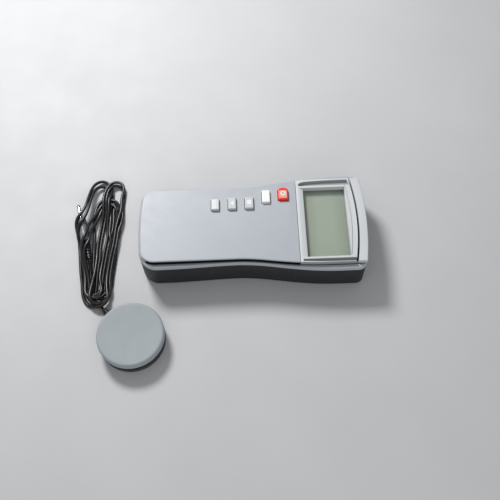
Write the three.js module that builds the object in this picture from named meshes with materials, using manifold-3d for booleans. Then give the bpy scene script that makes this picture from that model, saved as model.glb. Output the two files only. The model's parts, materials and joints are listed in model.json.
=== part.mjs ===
// Handheld light meter: a display unit that lies on its back, and a round sensor head on a lead that ends in a
// jack plug. Millimetres. X runs along the display unit towards its display end, Y across it, Z up out of its face.
// The origin is the middle of the flat back that the display unit rests on.
import * as THREE from "three";
import { mergeVertices } from "three/addons/utils/BufferGeometryUtils.js";
import Module from "manifold-3d";

const wasm = await Module();
wasm.setup();

// ---- Driving dimensions of the display unit ----
const GAP = 0.3; // clearance between neighbouring pieces
const GRIP_END_X = -95; // outermost point of the grip end
const DISPLAY_END_X = 96; // outermost point of the display end
const GRIP_HALF = 38.2; // half width of the case at the grip
const WAIST_HALF = 36.3; // half width at the waist
const WAIST_X = -13;
const HEAD_HALF = 44.6; // half width at the display
const HEAD_X = 72; // where the case reaches its full width
const PANEL_GRIP_HALF = 34; // half width of the raised face at the grip
const PANEL_WAIST_HALF = 33.9;
const PANEL_END_HALF = 40; // half width of the raised face at the display end
const PANEL_END_X = 62; // where the raised face reaches it
const REAR_TOP = 27; // top of the rear shell
const LEDGE_Z = 30.9; // top of the ledge round the face
const FACE_Z = 35; // top of the face
const WALL = 2.2;
const FLOOR = 2.5; // thickness of the rear shell's floor

// Window in the face
const SEAM_X = 38.3; // seam between the face and the window bezel
const WINDOW_Y = -1.2; // the window and its frame sit a little off the centre line
const WINDOW_LEFT = 44.6;
const WINDOW_RIGHT = 79.9;
const WINDOW_HALF = 33.2;
const BEZEL_RIGHT = 84.6; // outer edge of the raised frame round the window
const BEZEL_HALF = 35.6;
const BEZEL_FLOOR_Z = 32.3; // top of the bezel's plate beside its frame
const STRIP_X = 88.9; // curved joint between the bezel and the end strip, on the centre line
const STRIP_SAG = 3.9; // how far that joint falls back towards the sides
const STRIP_HALF = 39.6;
const STRIP_BOTTOM = 29.5;

// Stack of boards under the face
const BOARD_BOTTOM = 20.8;
const BOARD_TOP = 22.4;
const LCD_BOTTOM = 26.4;
const LCD_TOP = 28.5;

// Keys: centre, width along X, depth along Y
const KEY_TOP = 37.5;
const KEYS = [
  { name: "key_light", x: -30.3, y: 16.9, width: 6.9, depth: 11, colour: 0xb9bdbe },
  { name: "key_left", x: -16, y: 17.4, width: 6.9, depth: 11.5, colour: 0xaeb3b6 },
  { name: "key_enter", x: -1.6, y: 17.5, width: 7.3, depth: 11.5, colour: 0xaeb3b6 },
  { name: "key_hold", x: 12.8, y: 23.1, width: 6.9, depth: 12.2, colour: 0xf2f2ef },
  { name: "key_power", x: 27.4, y: 25.6, width: 8.5, depth: 12.6, colour: 0xe03a30, arched: true },
];

// Battery bay: three cells side by side, lying along X
const CELL_RADIUS = 7.1;
const CELL_LENGTH = 49.5;
const CELL_PITCH = 14.7;
const BAY_LEFT = -87;
const BAY_RIGHT = -31;
const BAY_HALF = 22.4;
const BAY_TOP = 18.2;
const DOOR_HALF = 20;
const DOOR_RAIL = 1.6; // how far the door's edges run under the floor on each side

// Case screws: two in the grip, two beside the window
const SCREWS = [
  [-74, 29],
  [-74, -29],
  [60, 39.1],
  [60, -39.1],
];
const POST_BOTTOM = 12.3;

// ---- Driving dimensions of the sensor head, its lead and its plug ----
const HEAD_CENTRE = [-100.9, -88];
const CAP_RADIUS = 27.4;
const CAP_TOP = 16;
const CAP_BOTTOM = 10;
const CAP_DISH = 0.8; // how far the middle of the cap sinks below its rim
const BASE_TOP = 6.2;
const HOUSING_RADIUS = 25.2;
const HOUSING_TOP = 12.2;
const LEAD_ANGLE = THREE.MathUtils.degToRad(133); // direction in which the lead leaves the head
const GLAND_Z = 3.2;
const GLAND_REACH = 36.5; // distance of the gland's end from the head's centre
const HANK_TOP = 12.4;
const PLUG_TIP = [-155.4, 41.6]; // tip of the jack, seen from above
const PLUG_ANGLE = THREE.MathUtils.degToRad(104.4); // direction in which the jack points
const PLUG_Z = 4.4;
const PIN_LENGTH = 15;
const PLUG_BODY_LENGTH = 24;
const BOOT_LENGTH = 18;

// ---- Materials ----
function plastic(colour, roughness = 0.55) {
  return new THREE.MeshStandardMaterial({ color: colour, roughness, metalness: 0 });
}
function metal(colour, roughness = 0.3) {
  return new THREE.MeshStandardMaterial({ color: colour, roughness, metalness: 1 });
}
const caseGrey = plastic(0xb4bac0, 0.45);
const rearDark = plastic(0x2a2b2d, 0.6);
const trimGrey = plastic(0xc4c8cb, 0.4);
const capGrey = plastic(0xa0a8aa, 0.7);
const blackRubber = plastic(0x17181a, 0.5);
const plugGrey = plastic(0x6f7377, 0.5);
const boardGreen = plastic(0x1d5a36, 0.6);
const chipBlack = plastic(0x1b1b1d, 0.5);
const nickel = metal(0xc9c9c4);
const clearPlastic = plastic(0xdfe6e4, 0.1);
const lcdGreen = plastic(0x9ea896, 0.25);
const milkWhite = plastic(0xf1f1ec, 0.5);
const cellWrap = plastic(0x3c4148, 0.4);
const filterGlass = plastic(0x7fae8e, 0.1);

const meter = new THREE.Group();

// ---- Solids ----
function toSolid(geometry) {
  const bare = geometry.clone();
  bare.deleteAttribute("normal");
  bare.deleteAttribute("uv");
  const merged = mergeVertices(bare, 1e-4);
  return new wasm.Manifold(
    new wasm.Mesh({
      numProp: 3,
      vertProperties: new Float32Array(merged.attributes.position.array),
      triVerts: new Uint32Array(merged.index.array),
    }),
  );
}

function toGeometry(solid) {
  const mesh = solid.getMesh();
  const geometry = new THREE.BufferGeometry();
  geometry.setAttribute("position", new THREE.BufferAttribute(new Float32Array(mesh.vertProperties), 3));
  geometry.setIndex(new THREE.BufferAttribute(new Uint32Array(mesh.triVerts), 1));
  geometry.computeVertexNormals();
  return geometry;
}

function add(name, shape, material) {
  const geometry = shape.isBufferGeometry ? shape : toGeometry(shape);
  const mesh = new THREE.Mesh(geometry, material);
  mesh.name = name;
  meter.add(mesh);
  return mesh;
}

// A straight-sided plate of a flat outline between two heights.
function plate(shape, bottom, top, curveSegments = 8) {
  const geometry = new THREE.ExtrudeGeometry(shape, { depth: top - bottom, bevelEnabled: false, curveSegments });
  return toSolid(geometry.translate(0, 0, bottom));
}

// The same with its two long edges rounded off; the outline is the widest section.
function roundedPlate(shape, bottom, top, radius, curveSegments = 8, bevelSegments = 2) {
  const geometry = new THREE.ExtrudeGeometry(shape, {
    depth: top - bottom - 2 * radius,
    bevelThickness: radius,
    bevelSize: radius,
    bevelOffset: -radius,
    bevelSegments,
    curveSegments,
  });
  return toSolid(geometry.translate(0, 0, bottom + radius));
}

function block(x0, x1, y0, y1, z0, z1) {
  const geometry = new THREE.BoxGeometry(x1 - x0, y1 - y0, z1 - z0);
  return toSolid(geometry.translate((x0 + x1) / 2, (y0 + y1) / 2, (z0 + z1) / 2));
}

function post(x, y, radius, bottom, top, sides = 16) {
  const geometry = new THREE.CylinderGeometry(radius, radius, top - bottom, sides);
  return toSolid(geometry.rotateX(Math.PI / 2).translate(x, y, (bottom + top) / 2));
}

// A turned solid: [radius, height] pairs from the bottom of the axis to the top of it.
function turned(profile, sides = 24) {
  const points = profile.map(([radius, height]) => new THREE.Vector2(radius, height));
  return new THREE.LatheGeometry(points, sides).rotateX(Math.PI / 2);
}

function roundedRect(x0, x1, y0, y1, radius) {
  const shape = new THREE.Shape();
  shape.moveTo(x0 + radius, y0);
  shape.lineTo(x1 - radius, y0);
  shape.absarc(x1 - radius, y0 + radius, radius, -Math.PI / 2, 0);
  shape.lineTo(x1, y1 - radius);
  shape.absarc(x1 - radius, y1 - radius, radius, 0, Math.PI / 2);
  shape.lineTo(x0 + radius, y1);
  shape.absarc(x0 + radius, y1 - radius, radius, Math.PI / 2, Math.PI);
  shape.lineTo(x0, y0 + radius);
  shape.absarc(x0 + radius, y0 + radius, radius, Math.PI, 1.5 * Math.PI);
  return shape;
}

// ---- Outlines of the case, seen from above; inset shrinks them evenly enough for a wall ----
function caseOutline(inset = 0) {
  const left = GRIP_END_X + inset;
  const right = DISPLAY_END_X - inset;
  const grip = GRIP_HALF - inset;
  const waist = WAIST_HALF - inset;
  const head = HEAD_HALF - inset;
  const corner = 15 - inset;
  const shape = new THREE.Shape();
  shape.moveTo(left + 1 + corner, -grip);
  shape.bezierCurveTo(-50, -grip, -35, -waist, WAIST_X, -waist);
  shape.bezierCurveTo(14, -waist, 34, -head, HEAD_X, -head);
  shape.lineTo(right - 11, -head);
  shape.quadraticCurveTo(right - 4, -head, right - 3.4, -head + 7);
  shape.quadraticCurveTo(right + 3.4, 0, right - 3.4, head - 7);
  shape.quadraticCurveTo(right - 4, head, right - 11, head);
  shape.lineTo(HEAD_X, head);
  shape.bezierCurveTo(34, head, 14, waist, WAIST_X, waist);
  shape.bezierCurveTo(-35, waist, -50, grip, left + 1 + corner, grip);
  shape.absarc(left + 1 + corner, grip - corner, corner, Math.PI / 2, Math.PI);
  shape.quadraticCurveTo(left - 1, 0, left + 1, corner - grip);
  shape.absarc(left + 1 + corner, corner - grip, corner, Math.PI, 1.5 * Math.PI);
  return shape;
}

// The raised face reaches the edge of the case at the grip end and stays back from it along the sides.
function faceOutline(inset = 0) {
  const left = GRIP_END_X + inset;
  const grip = PANEL_GRIP_HALF - inset;
  const waist = PANEL_WAIST_HALF - inset;
  const end = PANEL_END_HALF - inset;
  const right = DISPLAY_END_X - inset;
  const corner = 12;
  const shape = new THREE.Shape();
  shape.moveTo(left + 2 + corner, -grip);
  shape.bezierCurveTo(-45, -grip, -35, -waist, WAIST_X, -waist);
  shape.bezierCurveTo(10, -waist, 26, -end, PANEL_END_X, -end);
  shape.lineTo(right - 3.2, -end);
  shape.quadraticCurveTo(right + 3.2, 0, right - 3.2, end);
  shape.lineTo(PANEL_END_X, end);
  shape.bezierCurveTo(26, end, 10, waist, WAIST_X, waist);
  shape.bezierCurveTo(-35, waist, -45, grip, left + 2 + corner, grip);
  shape.absarc(left + 2 + corner, grip - corner, corner, Math.PI / 2, Math.PI);
  shape.quadraticCurveTo(left - 2, 0, left + 2, corner - grip);
  shape.absarc(left + 2 + corner, corner - grip, corner, Math.PI, 1.5 * Math.PI);
  return shape;
}

// Everything on the display side of the curved joint at the end strip, from STRIP_BOTTOM - GAP up.
function beyondJoint(offset, half) {
  const near = STRIP_X - STRIP_SAG + offset;
  const bulge = STRIP_X + STRIP_SAG + offset;
  const shape = new THREE.Shape();
  shape.moveTo(DISPLAY_END_X + 5, -60);
  shape.lineTo(DISPLAY_END_X + 5, 60);
  shape.lineTo(near, 60);
  shape.lineTo(near, STRIP_HALF);
  shape.quadraticCurveTo(bulge, 0, near, -STRIP_HALF);
  shape.lineTo(near, -60);
  const band = block(0, DISPLAY_END_X + 5, -half, half, STRIP_BOTTOM - GAP, FACE_Z + 1);
  return plate(shape, 0, FACE_Z + 1).intersect(band);
}

function keyOutline(key, grow) {
  const halfWidth = key.width / 2 + grow;
  const halfDepth = key.depth / 2 + grow;
  if (!key.arched) {
    return roundedRect(key.x - halfWidth, key.x + halfWidth, key.y - halfDepth, key.y + halfDepth, 0.8 + grow);
  }
  const rise = 3.2; // height of the arch at the far end
  const shape = new THREE.Shape();
  shape.moveTo(key.x - halfWidth, key.y - halfDepth);
  shape.lineTo(key.x + halfWidth, key.y - halfDepth);
  shape.lineTo(key.x + halfWidth, key.y + halfDepth - rise);
  shape.bezierCurveTo(
    key.x + halfWidth,
    key.y + halfDepth,
    key.x - halfWidth,
    key.y + halfDepth,
    key.x - halfWidth,
    key.y + halfDepth - rise,
  );
  return shape;
}

// ---- Display unit: case ----
function makeFrontShell() {
  const slab = roundedPlate(caseOutline(), REAR_TOP + GAP - 5, LEDGE_Z, 1.2);
  const below = block(-120, 120, -60, 60, 0, REAR_TOP + GAP);
  const face = roundedPlate(faceOutline(), LEDGE_Z - 6, FACE_Z, 1.2);
  const hollow = plate(caseOutline(WALL), 0, LEDGE_Z - WALL).add(plate(faceOutline(WALL), 0, FACE_Z - 2.4));
  let shell = slab.add(face).subtract(below).subtract(hollow);
  for (const [x, y] of SCREWS) {
    shell = shell.add(post(x, y, 2.9, POST_BOTTOM, LEDGE_Z - WALL + 0.5)).subtract(post(x, y, 1.8, 0, 25));
  }
  const windowBed = block(SEAM_X, 92, -46, 46, LEDGE_Z - 0.9, FACE_Z + 1);
  const windowHole = block(41.5, 84.2, -36.6, 36.6, 0, FACE_Z + 1);
  const stripBed = beyondJoint(0, STRIP_HALF + GAP);
  const bed = windowBed.intersect(plate(faceOutline(), 0, FACE_Z + 1));
  shell = shell.subtract(bed).subtract(windowHole).subtract(stripBed);
  for (const key of KEYS) {
    shell = shell.subtract(plate(keyOutline(key, 0.35), 0, FACE_Z + 1, key.arched ? 8 : 2));
  }
  return shell;
}

function makeRearShell() {
  const outer = roundedPlate(caseOutline(), 0, REAR_TOP + 8, 3);
  const above = block(-120, 120, -60, 60, REAR_TOP, REAR_TOP + 20);
  let shell = outer.subtract(above).subtract(plate(caseOutline(WALL), FLOOR, REAR_TOP + 1));
  shell = shell.add(block(BAY_LEFT - 1.6, BAY_RIGHT + 1.6, -BAY_HALF - 1.6, BAY_HALF + 1.6, 1, BAY_TOP + 1.6));
  shell = shell.subtract(block(BAY_LEFT, BAY_RIGHT, -BAY_HALF, BAY_HALF, FLOOR, BAY_TOP));
  // The doorway: narrow outside, wider inside for the door's rails, and open at the grip end.
  const doorway = block(GRIP_END_X - 5, BAY_RIGHT, -DOOR_HALF - GAP, DOOR_HALF + GAP, -1, FLOOR + 0.1);
  const railHalf = DOOR_HALF + DOOR_RAIL + GAP;
  const rails = block(GRIP_END_X - 5, BAY_RIGHT, -railHalf, railHalf, 1.1, FLOOR + 0.1);
  shell = shell.subtract(doorway).subtract(rails);
  for (const [x, y] of SCREWS) {
    shell = shell.add(post(x, y, 4.6, 1, POST_BOTTOM - GAP));
    shell = shell.subtract(post(x, y, 1.8, -1, 20)).subtract(post(x, y, 3.1, -1, 4));
  }
  // Mouths of the two sockets in the end wall
  shell = shell.subtract(block(90, 100, -16.4, -7.6, 15.7, 21));
  const jackMouth = new THREE.CylinderGeometry(3.3, 3.3, 12, 12).rotateZ(Math.PI / 2).translate(94, 14, 17.2);
  return shell.subtract(toSolid(jackMouth));
}

function makeBatteryDoor() {
  const skin = block(GRIP_END_X + 1.4, BAY_RIGHT - GAP, -DOOR_HALF, DOOR_HALF, 0.2, 2.2);
  const railHalf = DOOR_HALF + DOOR_RAIL;
  const rails = block(GRIP_END_X + 4, BAY_RIGHT - GAP, -railHalf, railHalf, 1.4, 2.2);
  let door = skin.add(rails);
  const ribs = 5;
  for (let i = 0; i < ribs; i += 1) {
    const x = -84 + 2.4 * i;
    door = door.subtract(block(x, x + 1.1, -9, 9, 0, 0.8));
  }
  return door;
}

function makeBezel() {
  const bed = block(SEAM_X + GAP, 92, -46, 46, LEDGE_Z - 0.6, BEZEL_FLOOR_Z);
  const frame = roundedPlate(
    roundedRect(SEAM_X + GAP, BEZEL_RIGHT, WINDOW_Y - BEZEL_HALF, WINDOW_Y + BEZEL_HALF, 1.2),
    LEDGE_Z - 0.6, FACE_Z, 0.5, 3, 1,
  );
  const inside = plate(faceOutline(GAP), 0, FACE_Z + 1);
  const opening = plate(
    roundedRect(WINDOW_LEFT, WINDOW_RIGHT, WINDOW_Y - WINDOW_HALF, WINDOW_Y + WINDOW_HALF, 0.8),
    0, FACE_Z + 1, 3,
  );
  const joint = beyondJoint(-GAP, 59);
  return bed.add(frame).intersect(inside).subtract(opening).subtract(joint);
}

function makeEndStrip() {
  const body = roundedPlate(faceOutline(), STRIP_BOTTOM - 3, FACE_Z, 1.2);
  const under = block(0, 120, -60, 60, 0, STRIP_BOTTOM);
  return body.intersect(beyondJoint(GAP, STRIP_HALF)).subtract(under);
}

function makeKey(key) {
  const cap = roundedPlate(keyOutline(key, 0), 30, KEY_TOP, 0.5, key.arched ? 8 : 2, 1);
  const flange = plate(keyOutline(key, 1.1), 31, FACE_Z - 2.4 - GAP, key.arched ? 6 : 1);
  const stem = post(key.x, key.y, 1.6, 28, 31, 10);
  return cap.add(flange).add(stem);
}

// A 6 mm push switch with a round plunger, under each key
function makeKeySwitch(key) {
  const body = block(key.x - 3, key.x + 3, key.y - 3, key.y + 3, BOARD_TOP + GAP, 26);
  return body.add(post(key.x, key.y, 1.7, 25, 27, 10));
}

function makeCaseScrew(x, y) {
  const profile = [[0, 1.8], [2.8, 1.8], [2.8, 3.7], [1.45, 3.7], [1.45, 22], [0, 23]];
  return turned(profile, 12).translate(x, y, 0);
}

// ---- Display unit: electronics ----
function makeBoard() {
  const outline = new THREE.Shape();
  outline.moveTo(-37, -30);
  outline.lineTo(30, -30);
  outline.lineTo(42, -35);
  outline.lineTo(90, -35);
  outline.lineTo(90, 35);
  outline.lineTo(42, 35);
  outline.lineTo(30, 30);
  outline.lineTo(-37, 30);
  return plate(outline, BOARD_BOTTOM, BOARD_TOP);
}

function makeLcdHolder() {
  const tray = block(43, 83, -36, 36, BOARD_TOP + GAP, LCD_BOTTOM - GAP);
  return tray.subtract(block(45, 81, -31, 31, BOARD_TOP + 1.6, LCD_BOTTOM + 1));
}

function makeBacklight() {
  return block(45.4, 80.6, -30.6, 30.6, BOARD_TOP + 2, LCD_BOTTOM - 0.6);
}

function makeUsbSocket() {
  const shell = block(85, 94, -15.9, -8.1, 16.2, BOARD_BOTTOM - GAP);
  return shell.subtract(block(87, 95, -15.3, -8.7, 16.8, 19.9));
}

function makeSensorSocket() {
  const body = block(78.6, 92, 9.5, 18.5, 13, BOARD_BOTTOM - GAP);
  const collar = new THREE.CylinderGeometry(2.9, 2.9, 4, 12).rotateZ(Math.PI / 2).translate(93.5, 14, 17.2);
  const bore = new THREE.CylinderGeometry(1.95, 1.95, 15, 12).rotateZ(Math.PI / 2).translate(89, 14, 17.2);
  return body.add(toSolid(collar)).subtract(toSolid(bore));
}

function addElectronics() {
  add("main_board", makeBoard(), boardGreen);
  add("lcd_holder", makeLcdHolder(), plastic(0xd9dcda));
  add("lcd_backlight", makeBacklight(), milkWhite);
  add("lcd_glass", block(43, 83, -36, 36, LCD_BOTTOM, LCD_TOP), lcdGreen);
  add("display_window", block(42.2, 83.6, -36.2, 36.2, LCD_TOP + GAP, 30), clearPlastic);
  add("microcontroller", block(8, 22, -16, -2, 18.4, BOARD_BOTTOM - GAP), chipBlack);
  add("signal_amplifier", block(62, 68, 10, 15, 18.8, BOARD_BOTTOM - GAP), chipBlack);
  add("clock_crystal", block(26, 37, -11, -6.5, 17, BOARD_BOTTOM - GAP), nickel);
  add("buzzer", post(-8, -14, 6, 12.5, BOARD_BOTTOM - GAP, 20), chipBlack);
  add("usb_socket", makeUsbSocket(), nickel);
  add("sensor_socket", makeSensorSocket(), chipBlack);
  for (const key of KEYS) {
    add(key.name.replace("key", "switch"), makeKeySwitch(key), chipBlack);
  }
}

// ---- Display unit: battery bay ----
class SpringCurve extends THREE.Curve {
  constructor(turns, radius, length) {
    super();
    this.turns = turns;
    this.radius = radius;
    this.length = length;
  }
  getPoint(t, target = new THREE.Vector3()) {
    const angle = 2 * Math.PI * this.turns * t;
    const radius = this.radius * (1 - 0.35 * t);
    return target.set(this.length * t, radius * Math.cos(angle), radius * Math.sin(angle));
  }
}

function wireSection(radius, sides) {
  const points = [];
  for (let i = 0; i < sides; i += 1) {
    const angle = (2 * Math.PI * i) / sides;
    points.push(new THREE.Vector2(radius * Math.cos(angle), radius * Math.sin(angle)));
  }
  return new THREE.Shape(points);
}

function makeContactSpring() {
  const path = new SpringCurve(2.5, 4.2, 2.2);
  return new THREE.ExtrudeGeometry(wireSection(0.35, 5), { steps: 20, bevelEnabled: false, extrudePath: path });
}

function addBatteryBay() {
  const axisZ = FLOOR + 0.5 + CELL_RADIUS;
  const left = -82.9; // negative end of a cell that points to the display end
  const cellProfile = [
    [0, 0], [CELL_RADIUS, 0], [CELL_RADIUS, CELL_LENGTH], [2.7, CELL_LENGTH], [2.7, CELL_LENGTH + 1], [0, CELL_LENGTH + 1],
  ];
  for (let i = 0; i < 3; i += 1) {
    const y = CELL_PITCH * (i - 1);
    const turnedRound = i === 1; // the middle cell points the other way
    const cell = add(`battery_cell_${i + 1}`, new THREE.LatheGeometry(
      cellProfile.map(([r, h]) => new THREE.Vector2(r, h)), 18,
    ), cellWrap);
    cell.rotation.z = turnedRound ? Math.PI / 2 : -Math.PI / 2;
    cell.position.set(turnedRound ? BAY_LEFT + BAY_RIGHT - left : left, y, axisZ);
    const spring = add(`battery_spring_${i + 1}`, makeContactSpring(), nickel);
    spring.rotation.z = turnedRound ? Math.PI : 0;
    spring.position.set(turnedRound ? BAY_RIGHT - 1.5 : BAY_LEFT + 1.5, y, axisZ);
  }
  const low = axisZ - 5.5;
  const high = axisZ + 5.5;
  const half = 6;
  const leftFace = [BAY_LEFT + GAP, BAY_LEFT + GAP + 0.5];
  const rightFace = [BAY_RIGHT - GAP - 0.5, BAY_RIGHT - GAP];
  add("battery_link_grip_end", block(...leftFace, -CELL_PITCH - half, half, low, high), nickel);
  add("battery_terminal_positive", block(...leftFace, CELL_PITCH - half, CELL_PITCH + half, low, high), nickel);
  add("battery_link_display_end", block(...rightFace, -half, CELL_PITCH + half, low, high), nickel);
  add("battery_terminal_negative", block(...rightFace, -CELL_PITCH - half, -CELL_PITCH + half, low, high), nickel);
  add("battery_door", makeBatteryDoor(), rearDark);
}

// ---- Sensor head, built round its own axis and moved into place ----
const head = new THREE.Group();
head.position.set(HEAD_CENTRE[0], HEAD_CENTRE[1], 0);
meter.add(head);

function addToHead(name, shape, material) {
  head.add(add(name, shape, material));
}

function sensorScrewPlaces() {
  const angles = [20, 140, 260].map((a) => THREE.MathUtils.degToRad(a));
  return angles.map((angle) => [23.2 * Math.cos(angle), 23.2 * Math.sin(angle)]);
}

function makeSensorBase() {
  let base = toSolid(turned([[0, 0], [26.2, 0], [27, 0.8], [27, BASE_TOP - 0.6], [26.4, BASE_TOP], [0, BASE_TOP]], 40));
  base = base.subtract(post(0, 0, 20.6, 1.8, 9, 24));
  for (const [x, y] of sensorScrewPlaces()) {
    base = base.subtract(post(x, y, 1.4, -1, 9, 10)).subtract(post(x, y, 2.3, -1, 1.6, 12));
  }
  // Passage for the lead, under the gland
  const passage = new THREE.CylinderGeometry(2.0, 2.0, 14, 12).rotateZ(Math.PI / 2).translate(24, 0, GLAND_Z);
  return base.subtract(toSolid(passage.rotateZ(LEAD_ANGLE)));
}

function makeSensorHousing() {
  const profile = [
    [0, BASE_TOP + GAP], [HOUSING_RADIUS, BASE_TOP + GAP], [HOUSING_RADIUS, HOUSING_TOP - 1.2],
    [HOUSING_RADIUS - 1.2, HOUSING_TOP], [0, HOUSING_TOP],
  ];
  let housing = toSolid(turned(profile, 40));
  housing = housing.subtract(post(0, 0, 15.6, 0, 20, 32)).subtract(post(0, 0, 17.8, 0, 10, 32));
  for (const [x, y] of sensorScrewPlaces()) {
    housing = housing.subtract(post(x, y, 1.4, 0, 10.4, 10));
  }
  return housing;
}

function makeDiffuser() {
  const profile = [[0, 8.3], [17.4, 8.3], [17.4, 9.7], [15.2, 9.7], [15.2, 11.4]];
  const domeSteps = 4;
  for (let i = 1; i <= domeSteps; i += 1) {
    const angle = (Math.PI / 2) * (i / domeSteps);
    profile.push([15.2 * Math.cos(angle), 11.4 + 2 * Math.sin(angle)]);
  }
  profile[profile.length - 1][0] = 0;
  return turned(profile, 32);
}

function makeCap() {
  const edge = 2.2; // radius of the cap's rounded edge
  const inside = CAP_RADIUS - 1.8;
  const profile = [[inside, CAP_BOTTOM], [CAP_RADIUS, CAP_BOTTOM]];
  const steps = 4;
  for (let i = 0; i <= steps; i += 1) {
    const angle = (Math.PI / 2) * (i / steps);
    profile.push([CAP_RADIUS - edge + edge * Math.cos(angle), CAP_TOP - edge + edge * Math.sin(angle)]);
  }
  profile.push([0, CAP_TOP - CAP_DISH], [0, 13.9], [inside, 13.9], [inside, CAP_BOTTOM]);
  return turned(profile, 40);
}

function addSensorHead() {
  addToHead("sensor_base", makeSensorBase(), capGrey);
  addToHead("sensor_housing", makeSensorHousing(), capGrey);
  addToHead("diffuser", makeDiffuser(), milkWhite);
  addToHead("sensor_board", post(0, 0, 19, 2.1, 3.7, 24), boardGreen);
  addToHead("photodiode", post(0, 0, 4.5, 4, 5.8, 16), chipBlack);
  addToHead("optical_filter", post(0, 0, 5.4, 6.1, 7.3, 16), filterGlass);
  addToHead("filter_holder", post(0, 0, 7.6, 4, 8, 20).subtract(post(0, 0, 5.8, 0, 9, 16)), chipBlack);
  sensorScrewPlaces().forEach(([x, y], i) => {
    const profile = [[0, 0.3], [2, 0.3], [2, 1.3], [1.1, 1.3], [1.1, 9.6], [0, 10]];
    addToHead(`sensor_screw_${i + 1}`, turned(profile, 10).translate(x, y, 0), nickel);
  });
  addToHead("sensor_cap", makeCap(), capGrey);
}

// ---- Lead: gland, hank and plug ----
// A tapered strain relief with three rings; its axis starts on the base's wall.
function addGland() {
  const start = 27 + GAP;
  const length = GLAND_REACH - start;
  const profile = [[0, 0], [2.9, 0], [2.9, 1.5], [2.6, 1.5]];
  const rings = 3;
  for (let i = 0; i < rings; i += 1) {
    const at = 2.2 + 2 * i;
    const radius = 2.75 - 0.15 * i;
    profile.push([radius, at], [radius, at + 1], [radius - 0.35, at + 1.2], [radius - 0.35, at + 1.9]);
  }
  profile.push([2.2, length], [0, length]);
  const gland = add("sensor_gland", new THREE.LatheGeometry(
    profile.map(([r, h]) => new THREE.Vector2(r, h)), 16,
  ), blackRubber);
  gland.rotation.set(0, 0, LEAD_ANGLE - Math.PI / 2);
  gland.position.set(start * Math.cos(LEAD_ANGLE), start * Math.sin(LEAD_ANGLE), GLAND_Z);
  head.add(gland);
}

// The outer shape of the folded lead: a long loop, leaning to the display unit at both ends.
function hankOutline() {
  const shape = new THREE.Shape();
  shape.moveTo(-128, -67);
  shape.bezierCurveTo(-143, -60, -152, -35, -152.2, -5);
  shape.bezierCurveTo(-152.5, 25, -150, 72, -134, 73);
  shape.lineTo(-122, 72);
  shape.bezierCurveTo(-112, 70, -113, 50, -114, 20);
  shape.bezierCurveTo(-115, -10, -117, -35, -120.5, -52);
  shape.quadraticCurveTo(-122, -64, -128, -67);
  return shape;
}

// Room for the plug under the lead, and for the gland where the lead comes out of it.
function makeHank() {
  const hank = roundedPlate(hankOutline(), 0, HANK_TOP, 1.5, 6, 2);
  const plugLength = PIN_LENGTH + PLUG_BODY_LENGTH + BOOT_LENGTH;
  const plugRoom = new THREE.BoxGeometry(2 * plugLength, 9.3, 9.6);
  plugRoom.translate(plugLength - plugLength - GAP, 0, 0);
  plugRoom.rotateZ(PLUG_ANGLE).translate(PLUG_TIP[0], PLUG_TIP[1], PLUG_Z - 0.3);
  const glandRoom = new THREE.BoxGeometry(2 * GLAND_REACH + 2 * GAP, 7, 8);
  glandRoom.rotateZ(LEAD_ANGLE).translate(HEAD_CENTRE[0], HEAD_CENTRE[1], GLAND_Z - 0.3);
  return hank.subtract(toSolid(plugRoom)).subtract(toSolid(glandRoom));
}

// Each plug piece is turned about its axis; heights run from the back of the boot to the tip of the jack.
function addPlugPiece(name, profile, sides, material) {
  const piece = add(name, new THREE.LatheGeometry(
    profile.map(([r, h]) => new THREE.Vector2(r, h)), sides,
  ), material);
  const plugLength = PIN_LENGTH + PLUG_BODY_LENGTH + BOOT_LENGTH;
  piece.rotation.set(0, 0, PLUG_ANGLE - Math.PI / 2);
  piece.position.set(
    PLUG_TIP[0] - plugLength * Math.cos(PLUG_ANGLE), PLUG_TIP[1] - plugLength * Math.sin(PLUG_ANGLE), PLUG_Z,
  );
}

function addPlug() {
  const boot = [[0, 0], [2.3, 0]];
  const rings = 5;
  for (let i = 0; i < rings; i += 1) {
    const at = 1.5 + 2.8 * i;
    const radius = 2.7 + 0.18 * i;
    boot.push([radius, at], [radius, at + 1.7], [radius - 0.45, at + 1.9], [radius - 0.45, at + 2.6]);
  }
  boot.push([3.5, BOOT_LENGTH - GAP], [0, BOOT_LENGTH - GAP]);
  addPlugPiece("plug_boot", boot, 14, blackRubber);
  const bodyEnd = BOOT_LENGTH + PLUG_BODY_LENGTH;
  const body = [
    [0, BOOT_LENGTH], [3.7, BOOT_LENGTH], [4.2, BOOT_LENGTH + 1], [4.2, bodyEnd - 2], [3.6, bodyEnd - GAP], [0, bodyEnd - GAP],
  ];
  addPlugPiece("plug_body", body, 20, plugGrey);
  const tip = bodyEnd + PIN_LENGTH;
  const pin = [
    [0, bodyEnd], [2.6, bodyEnd], [2.6, bodyEnd + 1], [1.75, bodyEnd + 1], [1.75, tip - 3.6], [1.15, tip - 3],
    [1.75, tip - 2], [1.1, tip - 0.5], [0, tip],
  ];
  addPlugPiece("plug_pin", pin, 14, nickel);
}

// ---- Assembly ----
add("rear_shell", makeRearShell(), rearDark);
add("front_shell", makeFrontShell(), caseGrey);
add("window_bezel", makeBezel(), trimGrey);
add("end_strip", makeEndStrip(), trimGrey);
SCREWS.forEach(([x, y], i) => add(`case_screw_${i + 1}`, makeCaseScrew(x, y), nickel));
for (const key of KEYS) {
  add(key.name, makeKey(key), plastic(key.colour, 0.4));
}
addElectronics();
addBatteryBay();
addSensorHead();
addGland();
add("lead_hank", makeHank(), blackRubber);
addPlug();

export default meter;
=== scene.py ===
"""Handheld light meter: the looks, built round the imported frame.

Lengths below are millimetres, which MM turns into metres, except that the lights' are metres.
X runs along the display unit to its display end, Y across it, Z up out of its face.
"""

import json
import math

import bmesh
import bpy
import numpy as np
from mathutils import Matrix, Vector


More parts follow.
